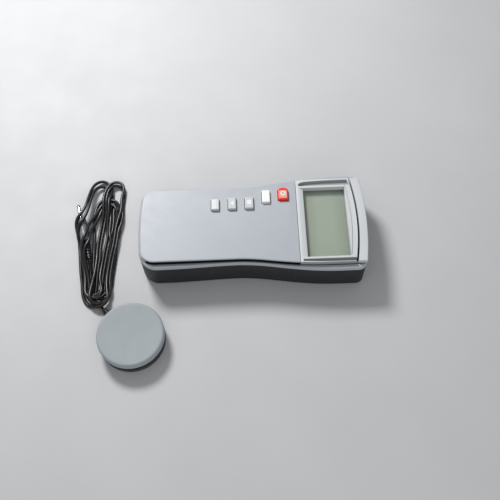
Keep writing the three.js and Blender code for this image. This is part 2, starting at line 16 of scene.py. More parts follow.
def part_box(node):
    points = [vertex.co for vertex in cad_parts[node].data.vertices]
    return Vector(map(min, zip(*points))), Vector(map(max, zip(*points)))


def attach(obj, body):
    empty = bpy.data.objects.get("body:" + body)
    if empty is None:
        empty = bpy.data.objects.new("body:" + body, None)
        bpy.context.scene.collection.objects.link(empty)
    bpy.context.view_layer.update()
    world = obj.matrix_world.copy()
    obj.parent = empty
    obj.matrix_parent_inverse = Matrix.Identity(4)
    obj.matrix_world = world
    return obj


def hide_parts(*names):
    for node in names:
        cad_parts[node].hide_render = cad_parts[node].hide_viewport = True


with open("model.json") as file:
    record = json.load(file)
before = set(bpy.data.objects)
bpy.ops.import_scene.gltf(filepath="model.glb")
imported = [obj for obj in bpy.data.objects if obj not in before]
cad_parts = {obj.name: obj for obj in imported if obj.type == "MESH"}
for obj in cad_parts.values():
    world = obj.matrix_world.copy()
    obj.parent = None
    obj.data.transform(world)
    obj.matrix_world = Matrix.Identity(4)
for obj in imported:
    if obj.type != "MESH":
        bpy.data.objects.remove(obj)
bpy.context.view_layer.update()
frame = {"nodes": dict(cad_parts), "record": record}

MM = 0.001

# ---- Driving dimensions, the same as the CAD model's ----
GAP = 0.3
GRIP_END_X = -95
DISPLAY_END_X = 96
GRIP_HALF = 38.2
WAIST_HALF = 36.3
WAIST_X = -13
HEAD_HALF = 44.6
HEAD_X = 72
PANEL_GRIP_HALF = 34
PANEL_WAIST_HALF = 33.9
PANEL_END_HALF = 40
PANEL_END_X = 62
REAR_TOP = 27
LEDGE_Z = 30.9
FACE_Z = 35
WALL = 2.2
FLOOR = 2.5

SEAM_X = 38.3
WINDOW_Y = -1.2
WINDOW_LEFT = 44.6
WINDOW_RIGHT = 79.9
WINDOW_HALF = 33.2
BEZEL_FLOOR_Z = 32.3
BEZEL_BOTTOM_Z = 30.3
STRIP_X = 88.9
STRIP_SAG = 3.9
STRIP_HALF = 39.6
STRIP_BOTTOM = 29.5

KEY_TOP = 37.5
KEYS = {
    "key_light": (-30.3, 16.9, 6.9, 11),
    "key_left": (-16, 17.4, 6.9, 11.5),
    "key_enter": (-1.6, 17.5, 7.3, 11.5),
    "key_hold": (12.8, 23.1, 6.9, 12.2),
    "key_power": (27.4, 25.6, 8.5, 12.6),
}
KEY_ARCH = 3.2
SCREWS = [(-74, 29), (-74, -29), (60, 39.1), (60, -39.1)]
BAY = (-87, -31, 22.4, 18.2)
DOOR_HALF = 20
DOOR_RAIL = 1.6

HEAD_CENTRE = np.array([-100.9, -88.0])
CAP_RADIUS = 27.4
CAP_TOP = 16
CAP_BOTTOM = 10
CAP_DISH = 0.8
BASE_TOP = 6.2
HOUSING_RADIUS = 25.2
HOUSING_TOP = 12.2
SENSOR_SCREW_ANGLES = (20, 140, 260)
SENSOR_SCREW_CIRCLE = 23.2
LEAD_ANGLE = math.radians(133)
GLAND_Z = 3.2
GLAND_REACH = 36.5
PLUG_TIP = np.array([-155.4, 41.6])
PLUG_ANGLE = math.radians(104.4)
PLUG_Z = 4.4
PIN_LENGTH = 15
PLUG_BODY_LENGTH = 24
BOOT_LENGTH = 18
PLUG_LENGTH = PIN_LENGTH + PLUG_BODY_LENGTH + BOOT_LENGTH
LEAD_RADIUS = 1.35

SHARP = math.radians(32)


def towards(angle):
    """A level unit vector at an angle from +X."""
    return np.array([math.cos(angle), math.sin(angle), 0.0])


SENSOR_SCREWS = [
    HEAD_CENTRE + SENSOR_SCREW_CIRCLE * towards(math.radians(degrees))[:2] for degrees in SENSOR_SCREW_ANGLES
]


def placed(name, data):
    """A new object in the scene."""
    thing = bpy.data.objects.new(name, data)
    bpy.context.scene.collection.objects.link(thing)
    return thing


# ---- Camera, floor and light ----
def add_camera():
    """The fitted viewpoint: above the near side, looking down and across."""
    elevation = math.radians(62.53)
    roll = math.radians(2.115)
    forward = np.array([0, math.cos(elevation), -math.sin(elevation)])
    right = np.array([1.0, 0, 0])
    up = np.cross(right, forward)
    across = math.cos(roll) * right - math.sin(roll) * up
    upright = math.sin(roll) * right + math.cos(roll) * up
    data = bpy.data.cameras.new("camera")
    data.lens = 50.4
    data.sensor_width = 36
    camera = placed("camera", data)
    turn = Matrix([across, upright, -forward]).transposed()
    camera.matrix_world = Matrix.Translation(Vector((-2.341, -290.172, 542.077)) * MM) @ turn.to_4x4()
    bpy.context.scene.camera = camera


def add_area_light(name, towards_light, distance, size, power, target=(-10, 0, 20)):
    """A soft box that shines at the target from the direction given, distance and size in metres."""
    data = bpy.data.lights.new(name, "AREA")
    data.shape = "DISK"
    data.size = size
    data.energy = power
    light = placed(name, data)
    away = Vector(towards_light).normalized()
    light.location = Vector(target) * MM + away * distance
    light.rotation_mode = "QUATERNION"
    light.rotation_quaternion = away.to_track_quat("Z", "Y")


def add_light():
    world = bpy.data.worlds.new("studio")
    world.use_nodes = True
    background = world.node_tree.nodes["Background"]
    background.inputs["Color"].default_value = (0.94, 0.97, 1.0, 1)
    background.inputs["Strength"].default_value = 0.34
    bpy.context.scene.world = world
    bpy.context.scene.view_settings.view_transform = "Standard"
    add_area_light("key_light_box", (-0.38, 0.74, 0.95), 0.85, 0.24, 6.4, target=(-70, 15, 20))
    add_area_light("fill_light_box", (0.1, -1.0, 0.5), 1.0, 0.5, 1.3)


# ---- Meshes ----
def mesh_object(name, points, faces):
    """A mesh object from points in millimetres, its faces turned outwards."""
    mesh = bpy.data.meshes.new(name)
    mesh.from_pydata((np.array(points, float) * MM).tolist(), [], faces)
    mesh.validate()
    thing = placed(name, mesh)
    face_outwards(thing)
    return thing


def face_outwards(thing):
    b = bmesh.new()
    b.from_mesh(thing.data)
    bmesh.ops.recalc_face_normals(b, faces=b.faces)
    b.to_mesh(thing.data)
    b.free()


def loft(name, rings):
    """A closed solid through rings of the same number of points, its two ends capped."""
    count = len(rings[0])
    points = np.concatenate(rings)
    faces = []
    for k in range(len(rings) - 1):
        low = k * count
        high = low + count
        for i in range(count):
            j = (i + 1) % count
            faces.append((low + i, low + j, high + j, high + i))
    faces.append(tuple(range(count))[::-1])
    last = (len(rings) - 1) * count
    faces.append(tuple(range(last, last + count)))
    return mesh_object(name, points, faces)


def level(outline, z):
    """A flat outline as a ring at a height."""
    return np.column_stack([outline, np.full(len(outline), float(z))])


def mitres(outline):
    """For each point, the step that moves both its edges inwards by one millimetre."""
    ahead = np.roll(outline, -1, axis=0) - outline
    ahead /= np.linalg.norm(ahead, axis=1)[:, None]
    normal = np.column_stack([-ahead[:, 1], ahead[:, 0]])
    both = normal + np.roll(normal, 1, axis=0)
    both /= np.linalg.norm(both, axis=1)[:, None]
    square = np.maximum((both * normal).sum(1), 0.5)
    return both / square[:, None]


def slab(name, outline, bottom, top, edge=0.0, foot=0.0, steps=3):
    """A plate of a flat outline, with its upper and lower edges rounded inwards."""
    inward = mitres(outline)
    rings = []
    for k in range(steps + 1):
        angle = math.pi / 2 * k / steps
        if foot:
            inset = foot * (1 - math.sin(angle))
            rings.append(level(outline + inward * inset, bottom + foot * (1 - math.cos(angle))))
    if not foot:
        rings.append(level(outline, bottom))
    for k in range(steps + 1):
        angle = math.pi / 2 * k / steps
        if edge:
            inset = edge * (1 - math.cos(angle))
            rings.append(level(outline + inward * inset, top - edge + edge * math.sin(angle)))
    if not edge:
        rings.append(level(outline, top))
    return loft(name, rings)


def pocket(outline, bottom, lip, flare=0.3, top=FACE_Z):
    """A cutter that sinks an outline into a face and breaks the edge that it leaves in it."""
    inward = mitres(outline)
    rings = [
        level(outline + inward * flare, bottom),
        level(outline, bottom + flare),
        level(outline, top - lip),
        level(outline - inward * lip * 0.35, top - lip * 0.35),
        level(outline - inward * lip, top + 0.001),
        level(outline - inward * lip, top + 6),
    ]
    return loft("cutter", rings)


def box(x0, x1, y0, y1, z0, z1):
    outline = np.array([(x0, y0), (x1, y0), (x1, y1), (x0, y1)], float)
    return loft("cutter", [level(outline, z0), level(outline, z1)])


def turned(name, profile, sides=64, turn=None, at=(0, 0, 0)):
    """A turned solid from (radius, height) pairs, then turned and moved to its place."""
    angles = np.arange(sides) * 2 * math.pi / sides
    circle = np.column_stack([np.cos(angles), np.sin(angles)])
    rings = [level(circle * max(radius, 0.02), height) for radius, height in profile]
    if turn is not None:
        rings = [ring @ np.array(turn).T for ring in rings]
    return loft(name, [ring + np.array(at, float) for ring in rings])


def upright(profile, sides, x, y):
    """A turned cutter that stands over a point."""
    return turned("cutter", profile, sides, at=(x, y, 0))


def along(direction):
    """The rotation that stands a turned solid's axis along a direction."""
    return np.array(Vector(direction).to_track_quat("Z", "Y").to_matrix())


def applied(thing):
    """Replaces an object's mesh by what its modifiers make of it."""
    graph = bpy.context.evaluated_depsgraph_get()
    thing.data = bpy.data.meshes.new_from_object(thing.evaluated_get(graph))
    thing.modifiers.clear()


def combine(thing, others, operation):
    """Adds closed solids to a closed solid, or cuts them out of it, one after another."""
    for other in others:
        step = thing.modifiers.new("combine", "BOOLEAN")
        step.operation = operation
        step.solver = "EXACT"
        step.object = other
    bpy.context.view_layer.update()
    applied(thing)
    for other in others:
        bpy.data.objects.remove(other)
    return thing


def cut(thing, *cutters):
    return combine(thing, cutters, "DIFFERENCE")


def join(thing, *others):
    return combine(thing, others, "UNION")


def round_edges(piece, width, angle):
    """A bevel of a width in millimetres along the edges that turn by more than an angle."""
    rounding = piece.modifiers.new("edges", "BEVEL")
    rounding.width = width * MM
    rounding.segments = 2
    rounding.limit_method = "ANGLE"
    rounding.angle_limit = angle


def finish_piece(piece, body, slot, finish=None, bevel=0.0, painted_shade=None):
    """Shades a piece, rounds its hard edges, and gives it its material and its body.

    The material is the slot's own unless another finish is named. Faces that carry the piece's second
    material, a painted shade for gaps and recesses, keep it. A piece called after a CAD node, with _fine
    added, takes its place.
    """
    mesh = piece.data
    mesh.polygons.foreach_set("use_smooth", [True] * len(mesh.polygons))
    if bevel:
        round_edges(piece, bevel, SHARP)
        bpy.context.view_layer.update()
        applied(piece)
        mesh = piece.data
    mesh.set_sharp_from_angle(angle=SHARP)
    even = piece.modifiers.new("even_shading", "WEIGHTED_NORMAL")
    even.keep_sharp = True
    even.weight = 100
    shade_index_per_face = [face.material_index for face in mesh.polygons]
    mesh.materials.clear()
    mesh.materials.append(materials[finish or slot])
    # A second material paints shade into gaps and recesses.
    if painted_shade:
        mesh.materials.append(materials[painted_shade])
        mesh.polygons.foreach_set("material_index", shade_index_per_face)
    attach(piece, body)
    if piece.name.endswith("_fine"):
        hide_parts(piece.name.removesuffix("_fine"))


# ---- Outlines, seen from above, anticlockwise ----
def bezier(*corners, steps=40):
    """Points along a Bezier curve of any degree, without its last one."""
    t = np.linspace(0, 1, steps, endpoint=False)[:, None]
    layer = [np.array(corner, float) * np.ones_like(t) for corner in corners]
    while len(layer) > 1:
        layer = [a + (b - a) * t for a, b in zip(layer, layer[1:])]
    return layer[0]


def arc(centre, radius, start, end, steps=16):
    """Points along an arc, angles in degrees, without its last one."""
    angles = np.radians(np.linspace(start, end, steps, endpoint=False))
    return np.array(centre) + radius * np.column_stack([np.cos(angles), np.sin(angles)])


def case_outline():
    left = GRIP_END_X + 1
    right = DISPLAY_END_X - 3.4
    corner = 15
    grip, waist, head = GRIP_HALF, WAIST_HALF, HEAD_HALF
    shoulder = DISPLAY_END_X - 11
    return np.concatenate([
        bezier((left + corner, -grip), (-50, -grip), (-35, -waist), (WAIST_X, -waist), steps=70),
        bezier((WAIST_X, -waist), (14, -waist), (34, -head), (HEAD_X, -head), steps=80),
        bezier((HEAD_X, -head), (shoulder, -head), steps=16),
        bezier((shoulder, -head), (right - 0.6, -head), (right, 7 - head), steps=20),
        bezier((right, 7 - head), (right + 6.8, 0), (right, head - 7), steps=60),
        bezier((right, head - 7), (right - 0.6, head), (shoulder, head), steps=20),
        bezier((shoulder, head), (HEAD_X, head), steps=16),
        bezier((HEAD_X, head), (34, head), (14, waist), (WAIST_X, waist), steps=80),
        bezier((WAIST_X, waist), (-35, waist), (-50, grip), (left + corner, grip), steps=70),
        arc((left + corner, grip - corner), corner, 90, 180, 30),
        bezier((left, grip - corner), (left - 2, 0), (left, corner - grip), steps=40),
        arc((left + corner, corner - grip), corner, 180, 270, 30),
    ])


def face_outline():
    left = GRIP_END_X + 2
    right = DISPLAY_END_X - 3.2
    corner = 12
    grip, waist, end = PANEL_GRIP_HALF, PANEL_WAIST_HALF, PANEL_END_HALF
    return np.concatenate([
        bezier((left + corner, -grip), (-45, -grip), (-35, -waist), (WAIST_X, -waist), steps=60),
        bezier((WAIST_X, -waist), (10, -waist), (26, -end), (PANEL_END_X, -end), steps=80),
        bezier((PANEL_END_X, -end), (right, -end), steps=30),
        bezier((right, -end), (right + 6.4, 0), (right, end), steps=60),
        bezier((right, end), (PANEL_END_X, end), steps=30),
        bezier((PANEL_END_X, end), (26, end), (10, waist), (WAIST_X, waist), steps=80),
        bezier((WAIST_X, waist), (-35, waist), (-45, grip), (left + corner, grip), steps=60),
        arc((left + corner, grip - corner), corner, 90, 180, 24),
        bezier((left, grip - corner), (left - 4, 0), (left, corner - grip), steps=30),
        arc((left + corner, corner - grip), corner, 180, 270, 24),
    ])


def joint_curve(offset, half, steps=60):
    """The curved joint at the end strip, from the near side to the far side."""
    near = STRIP_X - STRIP_SAG + offset
    bulge = STRIP_X + STRIP_SAG + offset
    curve = bezier((near, -STRIP_HALF), (bulge, 0), (near, STRIP_HALF), steps=steps)
    return np.concatenate([[(near, -half)], curve, [(near, STRIP_HALF)], [(near, half)]])


def rounded_rect(x0, x1, y0, y1, radius, steps=6):
    return np.concatenate([
        arc((x1 - radius, y0 + radius), radius, -90, 0, steps),
        [(x1, y0 + radius)],
        arc((x1 - radius, y1 - radius), radius, 0, 90, steps),
        [(x1 - radius, y1)],
        arc((x0 + radius, y1 - radius), radius, 90, 180, steps),
        [(x0, y1 - radius)],
        arc((x0 + radius, y0 + radius), radius, 180, 270, steps),
        [(x0 + radius, y0)],
    ])


def right_of(outline, x):
    """The part of an outline beyond a cross line, closed along that line."""
    points = []
    for a, b in zip(outline, np.roll(outline, -1, axis=0)):
        if a[0] > x:
            points.append(a)
        if (a[0] > x) != (b[0] > x):
            t = (x - a[0]) / (b[0] - a[0])
            points.append(a + t * (b - a))
    return np.array(points)


def key_outline(name, grow=0.0):
    x, y, width, depth = KEYS[name]
    half_width = width / 2 + grow
    low = y - depth / 2 - grow
    high = y + depth / 2 + grow
    left, right = x - half_width, x + half_width
    radius = 0.8 + grow
    if name != "key_power":
        return rounded_rect(left, right, low, high, radius)
    shoulder = high - KEY_ARCH
    return np.concatenate([
        arc((right - radius, low + radius), radius, -90, 0, 6),
        bezier((right, low + radius), (right, shoulder), steps=4),
        bezier((right, shoulder), (right, high), (left, high), (left, shoulder), steps=30),
        bezier((left, shoulder), (left, low + radius), steps=4),
        arc((left + radius, low + radius), radius, 180, 270, 6),
        [(left + radius, low)],
    ])


def smoothstep(x, low, high):
    t = np.clip((x - low) / (high - low), 0, 1)
    return t * t * (3 - 2 * t)


# ---- Materials ----
class Nodes:
    """A short way to write a material's nodes."""

    def __init__(self, name):
        self.material = bpy.data.materials.new(name)
        self.material.use_nodes = True
        self.tree = self.material.node_tree
        self.shader = self.tree.nodes["Principled BSDF"]
        self.place = self.add("ShaderNodeTexCoord").outputs["Object"]

    def add(self, kind, **settings):
        node = self.tree.nodes.new(kind)
        for key, value in settings.items():
            setattr(node, key, value)
        return node

    def link(self, a, b):
        self.tree.links.new(a, b)

    def feed(self, name, output):
        """Drives one of the shader's own inputs."""
        self.link(output, self.shader.inputs[name])

    def fix(self, name, value):
        """Sets one of the shader's own inputs to a constant."""
        self.shader.inputs[name].default_value = value

    def noise(self, size, detail):
        """Noise whose features are about this many millimetres across."""
        node = self.add("ShaderNodeTexNoise")
        node.inputs["Scale"].default_value = 1000 / size
        node.inputs["Detail"].default_value = detail
        self.link(self.place, node.inputs["Vector"])
        return node.outputs["Fac"]

    def ramp(self, factor, *stops):
        """A colour ramp of two (position, colour) stops, colours in linear light."""
        node = self.add("ShaderNodeValToRGB")
        for element, (position, colour) in zip(node.color_ramp.elements, stops):
            element.position = position
            element.color = (*colour, 1)
        self.link(factor, node.inputs["Fac"])
        return node.outputs["Color"]

    def tones(self, size, detail, dark, pale, low=0.3, high=0.7):
        """Slow changes between two colours."""
        return self.ramp(self.noise(size, detail), (low, dark), (high, pale))

    def range(self, factor, from_low, from_high, low, high):
        """Maps one range of values to another."""
        node = self.add("ShaderNodeMapRange")
        limits = {"From Min": from_low, "From Max": from_high, "To Min": low, "To Max": high}
        for name, value in limits.items():
            node.inputs[name].default_value = value
        self.link(factor, node.inputs["Value"])
        return node.outputs["Result"]

    def spread(self, size, detail, low, high):
        """Noise with its middle mapped to a range of values."""
        return self.range(self.noise(size, detail), 0.3, 0.7, low, high)

    def sum(self, operation, a, b=0.0):
        """An output put through a calculation with a constant."""
        node = self.add("ShaderNodeMath", operation=operation)
        self.link(a, node.inputs[0])
        node.inputs[1].default_value = b
        return node.outputs[0]

    def blend(self, factor, a, b):
        """Mixes an output's colour with a second colour, by another output."""
        node = self.add("ShaderNodeMix", data_type="RGBA")
        for socket, value in zip((node.inputs[0], node.inputs[6], node.inputs[7]), (factor, a, b)):
            if isinstance(value, bpy.types.NodeSocket):
                self.link(value, socket)
            else:
                socket.default_value = (*value, 1)
        return node.outputs[2]

    def relief(self, height, depth):
        """A bump of a depth in millimetres."""
        node = self.add("ShaderNodeBump")
        node.inputs["Distance"].default_value = depth * MM
        node.inputs["Strength"].default_value = 1
        self.link(height, node.inputs["Height"])
        return node.outputs["Normal"]

    def edges(self):
        """1 on worn outer edges, 0 elsewhere."""
        pointiness = self.add("ShaderNodeNewGeometry").outputs["Pointiness"]
        return self.ramp(pointiness, (0.52, (0, 0, 0)), (0.6, (1, 1, 1)))

    def surface(self, tones, roughness, relief=None):
        """Drives the colour, the roughness (size, detail, low, high) and the relief (size, detail, depth)."""
        self.feed("Base Color", tones)
        self.feed("Roughness", self.spread(*roughness))
        if relief:
            size, detail, depth = relief
            self.feed("Normal", self.relief(self.noise(size, detail), depth))
        return self.material


def scaled(colour, factor):
    return tuple(min(1.0, c * factor) for c in colour)


def moulded(name, colour, roughness, grain=0.35, depth=0.012, tone=0.05, wear=0.12):
    """Moulded plastic: a fine spark-eroded grain, slow changes of tone, and edges rubbed a little paler."""
    n = Nodes(name)
    slow = n.tones(24, 3, scaled(colour, 1 - tone), scaled(colour, 1 + tone))
    speckled = n.blend(n.spread(grain * 1.6, 2, 0.0, 0.5), slow, scaled(colour, 1 - 1.6 * tone))
    worn = n.blend(n.edges(), speckled, scaled(colour, 1 + wear))
    return n.surface(worn, (9, 3, roughness * 0.92, roughness * 1.08), (grain, 3, depth))


def glossy_plastic(name, colour, roughness):
    """Polished plastic with faint handling marks in its gloss."""
    n = Nodes(name)
    tones = n.tones(6, 3, scaled(colour, 0.96), scaled(colour, 1.03))
    worn = n.blend(n.edges(), tones, scaled(colour, 1.12))
    return n.surface(worn, (2.5, 4, roughness * 0.8, roughness * 1.3), (1.2, 2, 0.004))


def metal(name, colour, roughness, depth):
    """Plated metal with a fine grain in its gloss."""
    n = Nodes(name)
    n.fix("Metallic", 1.0)
    tones = n.tones(5, 3, scaled(colour, 0.9), colour)
    return n.surface(tones, (0.4, 3, roughness * 0.7, roughness * 1.3), (0.4, 3, depth))


def cord_rubber():
    """Smooth black PVC sleeving: satin gloss and faint scuffs."""
    n = Nodes("cord_rubber")
    scuffs = n.tones(5, 3, (0.009, 0.009, 0.010), (0.018, 0.018, 0.019), low=0.4, high=0.75)
    return n.surface(scuffs, (8, 2, 0.27, 0.33), (3, 2, 0.004))


def lcd_screen():
    """An unlit screen: grey green, paler in the middle as a painted reflection, with a faint grid of segments
    behind the glass.
    """
    n = Nodes("lcd_screen")
    split = n.add("ShaderNodeSeparateXYZ")
    n.link(n.place, split.inputs["Vector"])
    # Painted reflection: the screen is paler in its middle and darker towards both ends.
    away = n.sum("SUBTRACT", split.outputs["X"], (WINDOW_LEFT + WINDOW_RIGHT) / 2 * MM)
    share = n.range(n.sum("ABSOLUTE", away), 6 * MM, 18 * MM, 0, 1)
    tones = n.blend(share, (0.375, 0.435, 0.34), (0.285, 0.33, 0.255))
    grid = n.add("ShaderNodeTexBrick", offset=0.0)
    grid.inputs["Scale"].default_value = 1000 / 2.4
    grid.inputs["Mortar Size"].default_value = 0.02
    grid.inputs["Row Height"].default_value = 0.5
    n.link(n.place, grid.inputs["Vector"])
    tones = n.blend(n.sum("MULTIPLY", grid.outputs["Fac"], 0.12), tones, (0.24, 0.27, 0.22))
    return n.surface(tones, (8, 2, 0.16, 0.24))


def clear_window():
    """Thin clear plastic with a faint haze."""
    n = Nodes("clear_window")
    n.fix("Alpha", 0.07)
    return n.surface(n.tones(10, 3, (0.6, 0.62, 0.6), (0.68, 0.7, 0.68)), (4, 4, 0.04, 0.1))


def opal():
    """Milky diffusing plastic."""
    n = Nodes("opal")
    n.fix("Subsurface Weight", 0.3)
    n.fix("Subsurface Radius", (0.002, 0.002, 0.0018))
    tones = n.tones(12, 3, (0.84, 0.84, 0.81), (0.9, 0.9, 0.88))
    return n.surface(tones, (5, 3, 0.3, 0.42), (0.5, 2, 0.008))


def circuit_board():
    """Green solder mask over copper tracks."""
    n = Nodes("circuit_board")
    tracks = n.add("ShaderNodeTexBrick", offset=0.37)
    tracks.inputs["Scale"].default_value = 1000 / 3.0
    tracks.inputs["Mortar Size"].default_value = 0.06
    n.link(n.place, tracks.inputs["Vector"])
    n.feed("Normal", n.relief(tracks.outputs["Fac"], 0.03))
    tones = n.blend(tracks.outputs["Fac"], (0.012, 0.10, 0.04), (0.03, 0.19, 0.08))
    return n.surface(tones, (2, 3, 0.25, 0.4))


def filter_glass():
    """Green optical glass."""
    n = Nodes("filter_glass")
    n.fix("Alpha", 0.6)
    return n.surface(n.tones(3, 2, (0.18, 0.42, 0.27), (0.22, 0.47, 0.31)), (2, 2, 0.04, 0.09))


def floor_material():
    """Plain pale floor."""
    n = Nodes("floor")
    tones = n.tones(90, 3, (0.60, 0.60, 0.61), (0.63, 0.63, 0.64))
    return n.surface(tones, (30, 2, 0.6, 0.75), (1.5, 3, 0.02))


# Colour and roughness, then whatever differs from the usual grain.
MOULDED = {
    "case_grey": ((0.475, 0.5, 0.54), 0.42, dict(grain=0.3, depth=0.006, tone=0.02)),
    # The next two are painted shade: a darker grey for the bezel's troughs, near black for the gap beside the
    # raised face.
    "trough_painted_shade": ((0.42, 0.42, 0.425), 0.6, dict(grain=0.3, depth=0.01)),
    "painted_gap_shade": ((0.004, 0.004, 0.004), 0.9, dict(depth=0.02)),
    "case_dark": ((0.011, 0.0115, 0.0125), 0.55, dict(grain=0.5, depth=0.03, tone=0.08, wear=0.8)),
    "trim_grey": ((0.68, 0.695, 0.71), 0.38, dict(grain=0.3, depth=0.004, tone=0.02)),
    "key_grey": ((0.56, 0.57, 0.585), 0.35, dict(grain=0.4, depth=0.005, tone=0.02)),
    "key_white": ((0.88, 0.88, 0.87), 0.3, dict(grain=0.4, depth=0.004, tone=0.02)),
    "key_red": ((0.9, 0.05, 0.03), 0.3, dict(grain=0.4, depth=0.004, tone=0.05)),
    "white_plastic": ((0.8, 0.8, 0.78), 0.5, {}),
    "black_plastic": ((0.02, 0.02, 0.022), 0.45, dict(depth=0.008)),
    "plug_grey": ((0.2, 0.205, 0.21), 0.35, dict(grain=0.4, depth=0.006)),
    "cap_grey": ((0.37, 0.405, 0.425), 0.6, dict(grain=0.35, depth=0.02, tone=0.04)),
    "sensor_dark": ((0.035, 0.036, 0.038), 0.5, dict(grain=0.4, depth=0.015)),
}


def make_materials():
    """A finish for each of the record's material slots, two of painted shade for gaps and recesses, and three
    for the keys' marks.
    """
    finishes = {
        "window_clear": clear_window(),
        "lcd": lcd_screen(),
        "board": circuit_board(),
        "nickel": metal("nickel", (0.80, 0.79, 0.76), 0.2, 0.004),
        "zinc_steel": metal("zinc_steel", (0.56, 0.56, 0.55), 0.32, 0.01),
        "cell_wrap": glossy_plastic("cell_wrap", (0.05, 0.07, 0.1), 0.2),
        "cord_black": cord_rubber(),
        "diffuser": opal(),
        "filter_glass": filter_glass(),
        "mark_white": glossy_plastic("mark_white", (0.86, 0.86, 0.85), 0.3),
        "mark_pale": glossy_plastic("mark_pale", (0.78, 0.785, 0.785), 0.3),
        "mark_pink": glossy_plastic("mark_pink", (0.85, 0.4, 0.31), 0.3),
    }
    for name, (colour, roughness, grain) in MOULDED.items():
        finishes[name] = moulded(name, colour, roughness, **grain)
    return finishes


# ---- Display unit ----
def width_to_face(outline, inward):
    """For each point of the case's edge, the distance inwards to the edge of the raised face."""
    face = face_outline()
    step = np.roll(face, -1, axis=0) - face
    distances = []
    for point, way in zip(outline, inward):
        cross = way[0] * step[:, 1] - way[1] * step[:, 0]
        gap = face - point
        with np.errstate(divide="ignore", invalid="ignore"):
            t = (gap[:, 0] * step[:, 1] - gap[:, 1] * step[:, 0]) / cross
            u = (gap[:, 0] * way[1] - gap[:, 1] * way[0]) / cross
        hit = (u >= -1e-6) & (u <= 1 + 1e-6) & (t > -1)
        distances.append(t[hit].min() if hit.any() else 0.0)
    return np.maximum(np.array(distances), 0.0)


GAP_RINGS = range(13, 18)  # the stretches between rings where shade is painted in the gap beside the raised face
GRIP_ROLL = (-93, -90)  # where the ledge and gap fade into the rolled grip end
GRIP_GAP_END = -90.4


def front_shell_rings():
    """The section of the upper shell, carried round the case: lip, ledge, shadow gap, raised face."""
    outline = case_outline()
    inward = mitres(outline)
    width = width_to_face(outline, inward)
    lip = np.minimum(1, width / 4)
    grip_end = 1 - smoothstep(outline[:, 0], *GRIP_ROLL)
    ledge = [
        (0.12 * lip, 30), (0.5 * lip, 30.55), (1.1 * lip, 30.85), (1.7 * lip, LEDGE_Z),
        (2.3 * lip, 30.72), (2.9 * lip, 30.5), (width - 0.6 * lip, 30.35),
    ]
    undercut = [
        (width + 0.9, BEZEL_BOTTOM_Z), (width + 1.2, 30.6), (width + 1.2, 33.2), (width + 0.9, 33.5),
        (width + 0.1, 33.55),
    ]
    rim = [
        (width, 33.7), (width, 34.3), (width + 0.15, 34.75), (width + 0.45, 34.95), (width + 0.9, FACE_Z),
    ]
    side = ledge + undercut + rim
    rings = [
        level(outline + inward * (width + 2.4)[:, None], 32.6),
        level(outline + inward * (width + 2.4)[:, None], 28.6),
        level(outline + inward * WALL, 28.4),
        level(outline + inward * WALL, REAR_TOP + GAP),
        level(outline + inward * 0.25, REAR_TOP + GAP),
        level(outline, REAR_TOP + GAP + 0.25),
        level(outline, 29.3),
    ]
    roll_depth, roll_height = 3.2, 4.4
    for k, (inset, z) in enumerate(side):
        angle = math.pi / 2 * (k + 1) / len(side)
        rolled = roll_depth * (1 - math.cos(angle))
        rolled_z = FACE_Z - roll_height + roll_height * math.sin(angle)
        inset = inset + (rolled - inset) * grip_end
        height = z + (rolled_z - z) * grip_end
        rings.append(np.column_stack([outline + inward * inset[:, None], height]))
    return rings


def paint_gap_shade(shell, count):
    """Paints shade into the deep gap beside the raised face, except at the rolled grip end."""
    beside = case_outline()[:, 0] > GRIP_GAP_END
    mesh = shell.data
    mesh.materials.append(materials["case_grey"])
    mesh.materials.append(materials["painted_gap_shade"])
    for ring in GAP_RINGS:
        for i in range(count):
            mesh.polygons[ring * count + i].material_index = 1 if beside[i] else 0


def build_front_shell():
    rings = front_shell_rings()
    shell = loft("front_shell_fine", rings)
    paint_gap_shade(shell, len(rings[0]))
    bed = slab("cutter", right_of(face_outline(), SEAM_X), 30, 42)
    half = STRIP_HALF + GAP
    beyond = np.concatenate([joint_curve(0, half), [(105, half), (105, -half)]])
    strip_bed = slab("cutter", anticlockwise(beyond), STRIP_BOTTOM - GAP, 42)
    seam = slab("cutter", seam_relief(), FACE_Z - 0.3, 42)
    holes = [pocket(key_outline(name, 0.35), 20, 0.3) for name in KEYS]
    cut(shell, bed, strip_bed, seam, *holes)
    finish_piece(shell, "display_unit", "case_grey", painted_shade="painted_gap_shade")


def seam_relief():
    """A narrow step that breaks the face's edge along the seam."""
    half = PANEL_END_HALF - 2
    return np.array([(SEAM_X - 0.25, -half), (SEAM_X + 1, -half), (SEAM_X + 1, half), (SEAM_X - 0.25, half)])


def window_slope(left, right, low, high):
    """A cutter that leans the frame's left bar down towards the window, from a narrow level edge."""
    foot = rounded_rect(left, right, low, high, 0.5)
    head = rounded_rect(left - 3.6, right + 0.3, low - 0.3, high + 0.3, 0.5)
    rings = [level(foot, 30), level(foot, FACE_Z - 1.7), level(head, FACE_Z + 0.01), level(head, FACE_Z + 5)]
    return loft("cutter", rings)


